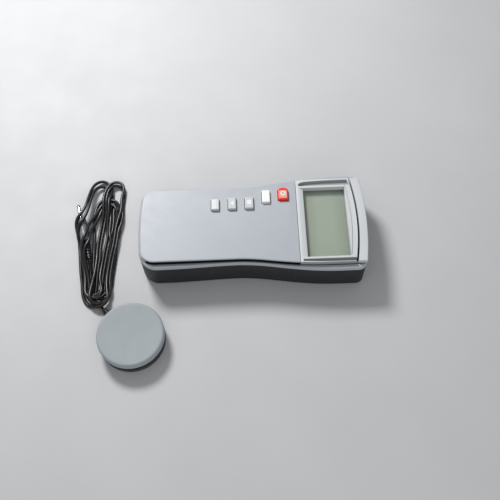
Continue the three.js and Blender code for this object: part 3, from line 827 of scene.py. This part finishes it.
def build_bezel():
    face = face_outline()
    inward = mitres(face)
    region = right_of(face + inward * 0.2, SEAM_X + GAP)
    bezel = slab("window_bezel_fine", region, BEZEL_BOTTOM_Z, FACE_Z, edge=0.35)
    low = WINDOW_Y - WINDOW_HALF
    high = WINDOW_Y + WINDOW_HALF - 0.9
    opening = pocket(rounded_rect(WINDOW_LEFT, WINDOW_RIGHT, low, high, 0.8), 20, 0.35)
    far_edge = high + 2.2
    near_edge = low - 2.0
    far_trough = np.concatenate([
        [(43, far_edge), (84.2, far_edge), (82.6, 38.3), (62, 38.2)],
        bezier((48, 37.6), (39.9, 37.2), (39.2, far_edge), (43, far_edge), steps=12),
    ])
    near_trough = np.array([
        (41, -38.1), (52, -38.9), (62, -39.2), (84, -39.3), (84, near_edge), (41, near_edge),
    ])
    joint = joint_curve(-1.4, 60)
    beyond = np.concatenate([joint, [(110, 60), (110, -60)]])
    groove = np.concatenate([joint_curve(-5.4, STRIP_HALF)[3:-3], joint_curve(-6.0, STRIP_HALF)[3:-3][::-1]])
    cut(
        bezel,
        box(38, 39.8, -60, 60, FACE_Z - 0.55, 42),
        window_slope(WINDOW_LEFT, WINDOW_RIGHT, low, high),
        opening,
        pocket(far_trough, BEZEL_FLOOR_Z, 0.3, flare=0.5),
        pocket(near_trough, BEZEL_FLOOR_Z, 0.2, flare=0.3),
        slab("cutter", anticlockwise(beyond), 20, 42),
        slab("cutter", anticlockwise(groove), FACE_Z - 0.8, 42),
    )
    # Faces under 34.2 outside the window's band, the troughs' floors and walls, take a darker grey as painted
    # shade.
    shade_top = 34.2
    near_shade_edge, far_shade_edge = low - 1.2, high + 1.1
    for polygon in bezel.data.polygons:
        _, y, z = polygon.center / MM
        polygon.material_index = int(z < shade_top and not near_shade_edge < y < far_shade_edge)
    finish_piece(bezel, "display_unit", "trim_grey", painted_shade="trough_painted_shade")


def anticlockwise(outline):
    """The outline, turned round if it runs clockwise."""
    x, y = outline[:, 0], outline[:, 1]
    twice_area = np.sum(x * np.roll(y, -1) - np.roll(x, -1) * y)
    return outline if twice_area > 0 else outline[::-1]


def build_end_strip():
    face = face_outline()
    inward = mitres(face)
    outer = right_of(face + inward * 0.1, STRIP_X - STRIP_SAG - 1)
    strip = slab("end_strip_fine", outer, STRIP_BOTTOM, FACE_Z, edge=0.9, steps=5)
    curve = joint_curve(GAP, 60)
    before = np.concatenate([curve, [(60, 60), (60, -60)]])
    outside_near = box(80, 105, -60, -STRIP_HALF, 20, 42)
    outside_far = box(80, 105, STRIP_HALF, 60, 20, 42)
    cut(strip, slab("cutter", anticlockwise(before), 20, 42), outside_near, outside_far)
    finish_piece(strip, "display_unit", "trim_grey", bevel=0.25)


def build_rear_shell():
    outline = case_outline()
    inward = mitres(outline)
    rings = []
    radius = 3
    steps = 8
    for k in range(steps + 1):
        angle = math.pi / 2 * k / steps
        rings.append(level(outline + inward * radius * (1 - math.sin(angle)), radius * (1 - math.cos(angle))))
    edge = 0.25
    wall = [(0, REAR_TOP - edge), (edge, REAR_TOP)]
    wall += [(WALL - edge, REAR_TOP), (WALL, REAR_TOP - edge), (WALL, FLOOR)]
    for inset, z in wall:
        rings.append(level(outline + inward * inset, z))
    shell = loft("rear_shell_fine", rings)
    left, right, half, top = BAY
    join(shell, box(left - 1.6, right + 1.6, -half - 1.6, half + 1.6, 1, top + 1.6))
    join(shell, *[upright([(4.6, 1), (4.6, 12)], 32, x, y) for x, y in SCREWS])
    doorway_end = GRIP_END_X - 5
    rail_half = DOOR_HALF + DOOR_RAIL + GAP
    cutters = [
        box(left, right, -half, half, FLOOR, top),
        box(doorway_end, right, -DOOR_HALF - GAP, DOOR_HALF + GAP, -1, FLOOR + 0.1),
        box(doorway_end, right, -rail_half, rail_half, 1.1, FLOOR + 0.1),
        slab("cutter", rounded_rect(90, 100, -16.4, -7.6, 0.5), 15.7, 21),
        turned("cutter", [(3.3, 0), (3.3, 14)], 48, turn=along((1, 0, 0)), at=(88, 14, 17.2)),
    ]
    for x, y in SCREWS:
        cutters.append(upright([(3.5, -1), (3.5, 0), (3.1, 0.4), (3.1, 4)], 40, x, y))
        cutters.append(upright([(1.8, 3), (1.8, 20)], 24, x, y))
    cut(shell, *cutters)
    finish_piece(shell, "display_unit", "case_dark")


def build_battery_door():
    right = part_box("battery_door")[1].x / MM
    outline = rounded_rect(GRIP_END_X + 1.4, right, -DOOR_HALF, DOOR_HALF, 1.2)
    skin = slab("battery_door_fine", outline, 0.2, 2.2, foot=0.35)
    rail_half = DOOR_HALF + DOOR_RAIL
    join(skin, box(GRIP_END_X + 4, right - 0.01, -rail_half, rail_half, 1.4, 2.19))
    cutters = []
    for i in range(5):
        x = -84 + 2.4 * i
        cutters.append(slab("cutter", rounded_rect(x, x + 1.1, -9, 9, 0.5), -1, 0.8))
    arrow = np.array([(-68, -4.5), (-62, 0), (-68, 4.5)])
    cutters.append(slab("cutter", arrow, -1, 0.5))
    cut(skin, *cutters)
    finish_piece(skin, "battery_door", "case_dark", bevel=0.12)


def build_screw(name, body, x, y, z, radius, height, shank, length):
    """A countersunk case screw seen from below: a domed head with a cross recess."""
    profile = [
        (radius - 0.5, z), (radius - 0.15, z + 0.12), (radius, z + 0.45), (radius, z + height),
        (shank, z + height), (shank, z + length - 1), (0.3, z + length),
    ]
    screw = turned(name + "_fine", profile, 48, at=(x, y, 0))
    arm = radius * 0.62
    thick = radius * 0.14
    depth = z + height * 0.6
    cross = box(x - arm, x + arm, y - thick, y + thick, z - 1, depth)
    join(cross, box(x - thick, x + thick, y - arm, y + arm, z - 1, depth))
    cut(screw, cross)
    finish_piece(screw, body, "zinc_steel")


def build_screws():
    for i, (x, y) in enumerate(SCREWS, 1):
        build_screw(f"case_screw_{i}", "display_unit", x, y, 1.8, 2.8, 1.9, 1.45, 21.2)
    for i, (x, y) in enumerate(SENSOR_SCREWS, 1):
        build_screw(f"sensor_screw_{i}", "sensor_head", x, y, 0.3, 2.0, 1.0, 1.1, 9.7)


# ---- Keys and their marks ----
def mark(key, kind, outline, finish, slot="key_white"):
    """A printed or inlaid mark on a key's top."""
    piece = slab(f"{key}_{kind}", outline, KEY_TOP - 0.2, KEY_TOP + 0.07, edge=0.04, steps=2)
    finish_piece(piece, key, slot, finish)


def ring_mark(key, x, y, outer, inner):
    """A flat ring standing on a key's top."""
    angles = np.linspace(0, 2 * math.pi, 48, endpoint=False)
    circle = np.column_stack([np.cos(angles), np.sin(angles)])
    piece = slab(f"{key}_ring", circle * outer + (x, y), KEY_TOP - 0.15, KEY_TOP + 0.14, edge=0.04, steps=2)
    cut(piece, slab("cutter", circle * inner + (x, y), KEY_TOP - 1, KEY_TOP + 1))
    finish_piece(piece, key, "key_white", "mark_white")


def build_keys():
    slots = {"key_hold": "key_white", "key_power": "key_red"}
    for name in KEYS:
        outline = key_outline(name)
        inward = mitres(outline)
        section = [(0, 30), (0, 36.5), (0.06, 36.9), (0.2, 37.2), (0.45, 37.42), (0.8, KEY_TOP)]
        cap = loft(name + "_fine", [level(outline + inward * inset, z) for inset, z in section])
        join(cap, slab("cutter", key_outline(name, 1.1), 31, 32.3))
        finish_piece(cap, name, slots.get(name, "key_grey"))
    x, y = KEYS["key_light"][:2]
    mark("key_light", "mark", rounded_rect(x - 2.6, x + 1.3, y - 4.6, y + 4.6, 0.4), "mark_pale")
    mark("key_light", "bar", rounded_rect(x + 1.9, x + 2.6, y - 4.6, y + 4.6, 0.25), "mark_pale")
    x, y = KEYS["key_left"][:2]
    mark("key_left", "mark", np.array([(x - 1.7, y), (x + 1.5, y - 2.6), (x + 1.5, y + 2.6)]), "mark_white")
    x, y = KEYS["key_enter"][:2]
    mark("key_enter", "mark", rounded_rect(x - 1.8, x + 1.8, y - 2.0, y + 2.4, 0.8), "mark_white")
    x, y = KEYS["key_power"][:2]
    mark("key_power", "patch", rounded_rect(x - 3.2, x + 3.2, y - 4.9, y + 2.6, 0.8), "mark_pink", "key_red")
    ring_mark("key_power", x, y - 0.4, 2.3, 1.25)


# ---- Sensor head ----
def head_piece(name, profile, sides, slot, body="sensor_head", cutters=()):
    """A piece turned about the head's middle."""
    piece = turned(name + "_fine", profile, sides, at=(*HEAD_CENTRE, 0))
    if cutters:
        cut(piece, *cutters)
    finish_piece(piece, body, slot)


def quarter(radius, centre_r, centre_z, steps=6):
    """A quarter of a circle in a turned profile."""
    angles = np.radians(np.linspace(0, 90, steps + 1))
    return [(centre_r + radius * math.cos(a), centre_z + radius * math.sin(a)) for a in angles]


def build_sensor_head():
    holes = []
    for x, y in SENSOR_SCREWS:
        holes.append(upright([(2.5, -1), (2.5, 0), (2.3, 0.25), (2.3, 1.6)], 32, x, y))
        holes.append(upright([(1.4, 1), (1.4, 9)], 24, x, y))
    holes.append(upright([(20.6, 1.8), (20.6, 9)], 96, *HEAD_CENTRE))
    base = [
        (25.9, 0), (26.4, 0.15), (26.85, 0.5), (27, 1.0), (27, 2.6), (26.7, 2.8), (26.7, 3.4), (27, 3.6),
        (27, BASE_TOP - 0.6), (26.8, BASE_TOP - 0.2), (26.4, BASE_TOP),
    ]
    head_piece("sensor_base", base, 128, "sensor_dark", cutters=holes)
    edge = 1.2
    housing = [(HOUSING_RADIUS - 4, BASE_TOP + GAP), (HOUSING_RADIUS, BASE_TOP + GAP)]
    housing += quarter(edge, HOUSING_RADIUS - edge, HOUSING_TOP - edge)
    opening = [(17.8, 0), (17.8, 10), (15.6, 10), (15.6, 12), (16, 12.3), (16, 20)]
    bore = upright(opening, 96, *HEAD_CENTRE)
    head_piece("sensor_housing", housing, 128, "sensor_dark", cutters=[bore])
    dome = [(17.4, 8.3), (17.4, 9.7), (15.2, 9.7), (15.2, 11.4)]
    for k in range(1, 13):
        angle = math.pi / 2 * k / 13
        dome.append((15.2 * math.cos(angle), 11.4 + 2 * math.sin(angle)))
    head_piece("diffuser", dome, 96, "diffuser")
    build_cap()
    build_gland()


def build_cap():
    """A cap with a rolled edge and a top that is dished a little."""
    edge = 2.2
    flat = CAP_RADIUS - edge
    profile = [(CAP_RADIUS - 0.3, CAP_BOTTOM), (CAP_RADIUS, CAP_BOTTOM + 0.3)]
    profile += quarter(edge, flat, CAP_TOP - edge, steps=10)
    steps = 10
    for k in range(1, steps):
        radius = flat * (1 - k / steps)
        profile.append((radius, CAP_TOP - CAP_DISH * (1 - (radius / flat) ** 2)))
    inside = CAP_RADIUS - 1.8
    hollow = upright([(inside, 0), (inside, 13.4), (inside - 0.5, 13.9)], 128, *HEAD_CENTRE)
    head_piece("sensor_cap", profile, 160, "cap_grey", body="sensor_cap", cutters=[hollow])


def build_gland():
    """The ribbed, tapered sleeve where the lead leaves the head."""
    start = 27 + GAP
    length = GLAND_REACH - start
    profile = [(2.6, 0), (2.9, 0.2), (2.9, 1.3), (2.7, 1.5), (2.55, 1.6)]
    for i in range(3):
        at = 2.2 + 2 * i
        radius = 2.75 - 0.15 * i
        profile += [(radius - 0.35, at - 0.15), (radius - 0.05, at), (radius, at + 0.2), (radius, at + 0.8)]
        profile += [(radius - 0.05, at + 1), (radius - 0.35, at + 1.15)]
    profile += [(2.2, length - 0.2), (1.9, length)]
    way = towards(LEAD_ANGLE)
    place = np.array([*HEAD_CENTRE, GLAND_Z]) + way * start
    gland = turned("sensor_gland_fine", profile, 40, turn=along(way), at=place)
    finish_piece(gland, "sensor_head", "cord_black")


# ---- Plug ----
def plug_piece(name, profile, slot):
    """Turned about the plug's axis; heights run from the back of the boot to the tip of the jack."""
    way = towards(PLUG_ANGLE)
    place = np.array([*PLUG_TIP, PLUG_Z]) - way * PLUG_LENGTH
    piece = turned(name + "_fine", profile, 48, turn=along(way), at=place)
    finish_piece(piece, "sensor_head", slot)
    return piece


def build_plug():
    boot = [(1.9, 0), (2.3, 0.3)]
    for i in range(5):
        at = 1.5 + 2.8 * i
        radius = 2.7 + 0.18 * i
        boot += [(radius - 0.45, at - 0.2), (radius - 0.08, at), (radius, at + 0.3), (radius, at + 1.4)]
        boot += [(radius - 0.08, at + 1.7), (radius - 0.45, at + 1.9)]
    boot += [(3.5, BOOT_LENGTH - 1.2), (3.5, BOOT_LENGTH - GAP)]
    body_end = BOOT_LENGTH + PLUG_BODY_LENGTH
    body = [(3.5, BOOT_LENGTH), (3.8, BOOT_LENGTH + 0.3), (4.2, BOOT_LENGTH + 1.2), (4.2, BOOT_LENGTH + 9)]
    for i in range(6):
        at = BOOT_LENGTH + 9.4 + 1.5 * i
        body += [(4.0, at), (4.0, at + 0.5), (4.2, at + 0.7), (4.2, at + 1.1)]
    body += [(4.2, body_end - 2), (4.05, body_end - 1), (3.6, body_end - GAP)]
    tip = body_end + PIN_LENGTH
    pin = [(2.6, body_end), (2.6, body_end + 0.8), (2.45, body_end + 1), (1.75, body_end + 1)]
    for insulator in (tip - 8.6, tip - 5.2):
        pin += [(1.75, insulator), (1.6, insulator + 0.05), (1.6, insulator + 0.55), (1.75, insulator + 0.6)]
    pin += [(1.75, tip - 3.6), (1.45, tip - 3.3), (1.15, tip - 3), (1.3, tip - 2.7), (1.75, tip - 2)]
    pin += [(1.6, tip - 1.4), (1.1, tip - 0.5), (0.5, tip - 0.05)]
    return [
        plug_piece("plug_boot", boot, "cord_black"),
        plug_piece("plug_body", body, "plug_grey"),
        plug_piece("plug_pin", pin, "nickel"),
    ]


# ---- Lead: folded into long loops, then let down under its own weight ----
# Each turn: the far end and the near end of its loop; the x of its left arm at y = -32, 0 and 32; the x of
# its right arm at y = 32, 0 and -32; and the heights at which it is laid down, which are the left arm's at
# -32, 0 and 32, the far end's and the right arm's.
TURNS = [
    ((-121.2, 65.4), (-128.5, -56.0), (-134.0, -132.9, -129.6), (-116.4, -118.8, -122.8), (9, 9, 11, 6, 4)),
    ((-121.6, 68.0), (-129.5, -60.0), (-136.2, -135.6, -132.2), (-118.8, -121.4, -125.4), (9, 9, 11, 8, 7)),
    ((-133.8, 68.6), (-131.0, -57.5), (-144.4, -147.8, -144.4), (-126.0, -124.2, -127.0), (5, 10, 9, 4, 2)),
    ((-134.3, 71.2), (-131.5, -61.0), (-147.1, -150.6, -147.0), (-128.4, -127.0, -129.6), (5, 10, 9, 5, 5)),
    ((-125.5, 43.5), (-129.5, -53), (-141, -144.8, -136), (-118.4, -121.6, -124.0), (9, 14, 6, 1.5, 1.5)),
    ((-125.5, 47.0), (-130.5, -58.0), (-143.4, -147.5, -139.0), (-116.2, -119.2, -121.4), (9, 14, 6, 2, 2)),
    ((-131.0, 50.5), (-131.0, -49.0), (-138.0, -138.6, -139.4), (-123.2, -126.8, -129.0), (1.4,) * 5),
]
FAR_FOLD = 5.7
NEAR_FOLD = 6.2
TIGHTEST = 6.2
COARSE_STEP = 3.0
FINE_STEP = 1.5
SINK = 0.05  # how far the lead drops in a round
UNPUSHED = 12  # nearer than this along the lead, points don't push on each other
SHARING = 3  # a contact moves this much of the lead to each side of it
LOOK_AHEAD = 3  # points this much further apart than touching are watched for the next ten rounds


def fold_shoulders(tip, back, radius):
    """The two points where a fold leaves its arms, left one first."""
    tip = np.array(tip)
    way = tip - np.array(back)
    way /= np.linalg.norm(way)
    side = np.array([-way[1], way[0]])
    side *= -np.sign(side[0])
    start = tip - 0.85 * radius * way
    return start + radius * side, start - radius * side


def turn_points(far, near, left, right, heights):
    """One turn: from the near end up the left arm, round the far end and down the right arm."""
    high = min(32, far[1] - 13)
    far_left, far_right = fold_shoulders(far, ((left[2] + right[0]) / 2, 32), FAR_FOLD)
    near_left, near_right = fold_shoulders(near, (left[0] + 3, -30), NEAR_FOLD)
    low_z, middle_z, high_z, far_z, right_z = heights
    return [
        (*near_left, low_z), (left[0], -32, low_z), (left[1], 0, middle_z), (left[2], high, high_z),
        (*far_left, (high_z + far_z) / 2), (*far, far_z), (*far_right, right_z),
        (right[0], high - 3, right_z), (right[1], 0, right_z), (right[2], -32, right_z),
        (*near_right, right_z), (*near, (low_z + right_z) / 2),
    ]


def lead_route(gland_end, boot_end):
    """The route, from the gland through every turn to the back of the plug's boot."""
    out = towards(LEAD_ANGLE)
    back = -towards(PLUG_ANGLE)
    points = [gland_end, gland_end + 4 * out, gland_end + 9 * out]
    for k, turn in enumerate(TURNS):
        laid = turn_points(*turn)
        points += laid[1:] if k == 0 else laid
    points = points[:-2]
    points += [(-126.6, -44, 1.5), (-128.6, -50.6, 1.5), (-134.8, -51.8, 1.5), (-139.2, -45, 2.0)]
    points += [boot_end + 16 * back, boot_end + 7 * back, boot_end - 2 * back]
    return np.array([np.array(p, float) for p in points])


def run_along(points):
    """The distance along a path of each of its points."""
    return np.concatenate([[0], np.cumsum(np.linalg.norm(np.diff(points, axis=0), axis=1))])


def evened(points, count):
    """The same curve through a number of evenly spaced points."""
    run = run_along(points)
    even = np.linspace(0, run[-1], count)
    return np.column_stack([np.interp(even, run, points[:, k]) for k in range(3)])


def smooth_through(points, step):
    """A centripetal Catmull-Rom curve through the points, cut into even steps."""
    ends = [2 * points[0] - points[1], *points, 2 * points[-1] - points[-2]]
    path = []
    for p0, p1, p2, p3 in zip(ends, ends[1:], ends[2:], ends[3:]):
        t1 = math.sqrt(np.linalg.norm(p1 - p0))
        t2 = t1 + math.sqrt(np.linalg.norm(p2 - p1))
        t3 = t2 + math.sqrt(np.linalg.norm(p3 - p2))
        t = np.linspace(t1, t2, max(2, int(np.linalg.norm(p2 - p1) / 0.4)), endpoint=False)[:, None]
        a1 = p0 + (p1 - p0) * t / t1
        a2 = p1 + (p2 - p1) * (t - t1) / (t2 - t1)
        a3 = p2 + (p3 - p2) * (t - t2) / (t3 - t2)
        b1 = a1 + (a2 - a1) * t / t2
        b2 = a2 + (a3 - a2) * (t - t1) / (t3 - t1)
        path.append(b1 + (b2 - b1) * (t - t1) / (t2 - t1))
    path = np.concatenate([*path, [points[-1]]])
    return evened(path, int(run_along(path)[-1] / step) + 1)


def push_out_of_rod(points, start, end, radius):
    """The moves that take points inside a straight rod to its surface."""
    axis = end - start
    t = np.clip((points - start) @ axis / (axis @ axis), 0, 1)
    away = points - (start + t[:, None] * axis)
    distance = np.maximum(np.linalg.norm(away, axis=1), 1e-6)
    inside = np.maximum(radius - distance, 0)
    return (inside / distance)[:, None] * away


def straighten(points, reach, amount):
    """Moves each point towards the smooth curve through its neighbours at reach and twice reach."""
    n = len(points)
    far = 2 * reach
    next_to = points[reach:n - 3 * reach] + points[3 * reach:n - reach]
    smooth = 4 * next_to - points[:n - 2 * far] - points[2 * far:]
    points[far:n - far] += amount * (smooth / 6 - points[far:n - far])


def ease_bends(points):
    """Spreads any bend that is tighter than the lead allows along more of its length."""
    for _ in range(60):
        before, here, after = points[:-4], points[2:-2], points[4:]
        cross = np.linalg.norm(np.cross(here - before, after - here), axis=1)
        sides = [np.linalg.norm(a - b, axis=1) for a, b in ((here, before), (after, here), (after, before))]
        radius = sides[0] * sides[1] * sides[2] / np.maximum(2 * cross, 1e-6)
        tight = np.pad(np.clip(3 * (TIGHTEST / radius - 1), 0, 1), 2)
        share = np.minimum(np.convolve(tight, np.hanning(13)[1:-1], mode="same"), 1)[:, None]
        for reach in (1, 2, 4):
            eased = points.copy()
            straighten(eased, reach, 0.4)
            points += share * (eased - points)


def spread_out(moves, reach):
    """Shares each point's move with its neighbours, so that a contact bends the lead and doesn't kink it."""
    weights = np.hanning(2 * reach + 3)[1:-1]
    weights *= 1.5 / weights.sum()
    return np.column_stack([np.convolve(moves[:, k], weights, mode="same") for k in range(3)])


def settle(points, gland_end, boot_end, step, rounds, pull):
    """Lets the lead down: weight, stiffness, and contact with itself, plug, gland, cap and floor."""
    laid = points.copy()
    apart_by = int(round(UNPUSHED / step))
    short = int(round(SHARING / step))
    own = np.zeros(len(points), bool)
    own[:apart_by] = True
    own[-apart_by:] = True
    way = towards(PLUG_ANGLE)
    tip = np.array([*PLUG_TIP, PLUG_Z])
    body_start = tip - (PIN_LENGTH + PLUG_BODY_LENGTH) * way
    rods = [
        (tip, tip - PIN_LENGTH * way, 1.75),
        (tip - PIN_LENGTH * way, body_start, 4.2),
        (body_start, boot_end, 3.2),
        (np.array([*HEAD_CENTRE, GLAND_Z]), gland_end, 2.9),
    ]
    first, second = np.triu_indices(len(points), apart_by)
    reach = 2 * LEAD_RADIUS
    for k in range(rounds):
        if k % 10 == 0:
            apart = points[first] - points[second]
            near = (apart * apart).sum(1) < (reach + LOOK_AHEAD) ** 2
            one, other = first[near], second[near]
        points[:, 2] -= SINK
        points[:, :2] += pull * (laid[:, :2] - points[:, :2])
        straighten(points, 3 * short, np.array([0, 0, 0.3]))
        straighten(points, short, 0.3)
        for _ in range(3):
            apart = points[one] - points[other]
            square = (apart * apart).sum(1)
            hit = np.flatnonzero(square < reach ** 2)
            distance = np.maximum(np.sqrt(square[hit]), 1e-3)
            push = 0.3 * ((reach - distance) / distance)[:, None] * apart[hit]
            moves = np.zeros_like(points)
            np.add.at(moves, one[hit], push)
            np.add.at(moves, other[hit], -push)
            for start, end, radius in rods:
                out = push_out_of_rod(points, start, end, radius + LEAD_RADIUS)
                out[own] = 0
                moves += out
            from_head = points[:, :2] - HEAD_CENTRE
            distance = np.linalg.norm(from_head, axis=1)
            clear = CAP_RADIUS + LEAD_RADIUS + GAP
            inside = (distance < clear) & ~own
            moves[inside, :2] += ((clear - distance[inside]) / distance[inside])[:, None] * from_head[inside]
            points += spread_out(moves, short)
            points[:, 2] = np.maximum(points[:, 2], LEAD_RADIUS)
        straighten(points, 1, 0.5)
        points = evened(points, len(points))
        points[:3] = laid[:3]
        points[-3:] = laid[-3:]
    return points


def tube_curve(name, points, radius):
    """A cord as a curve of one open spline, round in section."""
    data = bpy.data.curves.new(name, "CURVE")
    data.dimensions = "3D"
    data.bevel_depth = radius * MM
    data.bevel_resolution = 5
    data.use_fill_caps = True
    spline = data.splines.new("POLY")
    spline.points.add(len(points) - 1)
    flat = np.column_stack([points * MM, np.ones(len(points))])
    spline.points.foreach_set("co", flat.ravel())
    spline.use_smooth = True
    return placed(name, data)


def build_lead(plug):
    out = towards(LEAD_ANGLE)
    gland_end = np.array([*HEAD_CENTRE, GLAND_Z]) + GLAND_REACH * out
    boot_end = np.array([*PLUG_TIP, PLUG_Z]) - PLUG_LENGTH * towards(PLUG_ANGLE)
    laid = smooth_through(lead_route(gland_end, boot_end), COARSE_STEP)
    for _ in range(4):
        straighten(laid, 1, 0.5)
    settled = settle(laid, gland_end, boot_end, COARSE_STEP, 240, 0.08)
    points = settle(smooth_through(settled, FINE_STEP), gland_end, boot_end, FINE_STEP, 60, 0.03)
    ease_bends(points)
    for _ in range(4):
        straighten(points, 1, 0.5)
        straighten(points, 2, 0.5)
    lead = tube_curve("sensor_lead", points, LEAD_RADIUS)
    lead.data.materials.append(materials["cord_black"])
    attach(lead, "sensor_head")
    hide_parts("lead_hank")


# ---- CAD nodes that keep their own shape ----
def finish_cad_nodes():
    slots = {part["node"]: part["material_slot"] for part in frame["record"]["subparts"]}
    for name, node in frame["nodes"].items():
        if node.hide_render:
            continue
        node.data.materials.clear()
        node.data.materials.append(materials[slots[name]])
        round_edges(node, 0.12, math.radians(40))


def add_floor():
    size = 3000
    outline = np.array([(-size, -size), (size, -size), (size, size), (-size, size)], float)
    floor = mesh_object("floor", level(outline, 0.0), [(0, 1, 2, 3)])
    floor.data.materials.append(floor_material())


add_camera()
add_light()
add_floor()
materials = make_materials()
build_lead(build_plug())
build_front_shell()
build_rear_shell()
build_bezel()
build_end_strip()
build_battery_door()
build_screws()
build_keys()
build_sensor_head()
finish_cad_nodes()
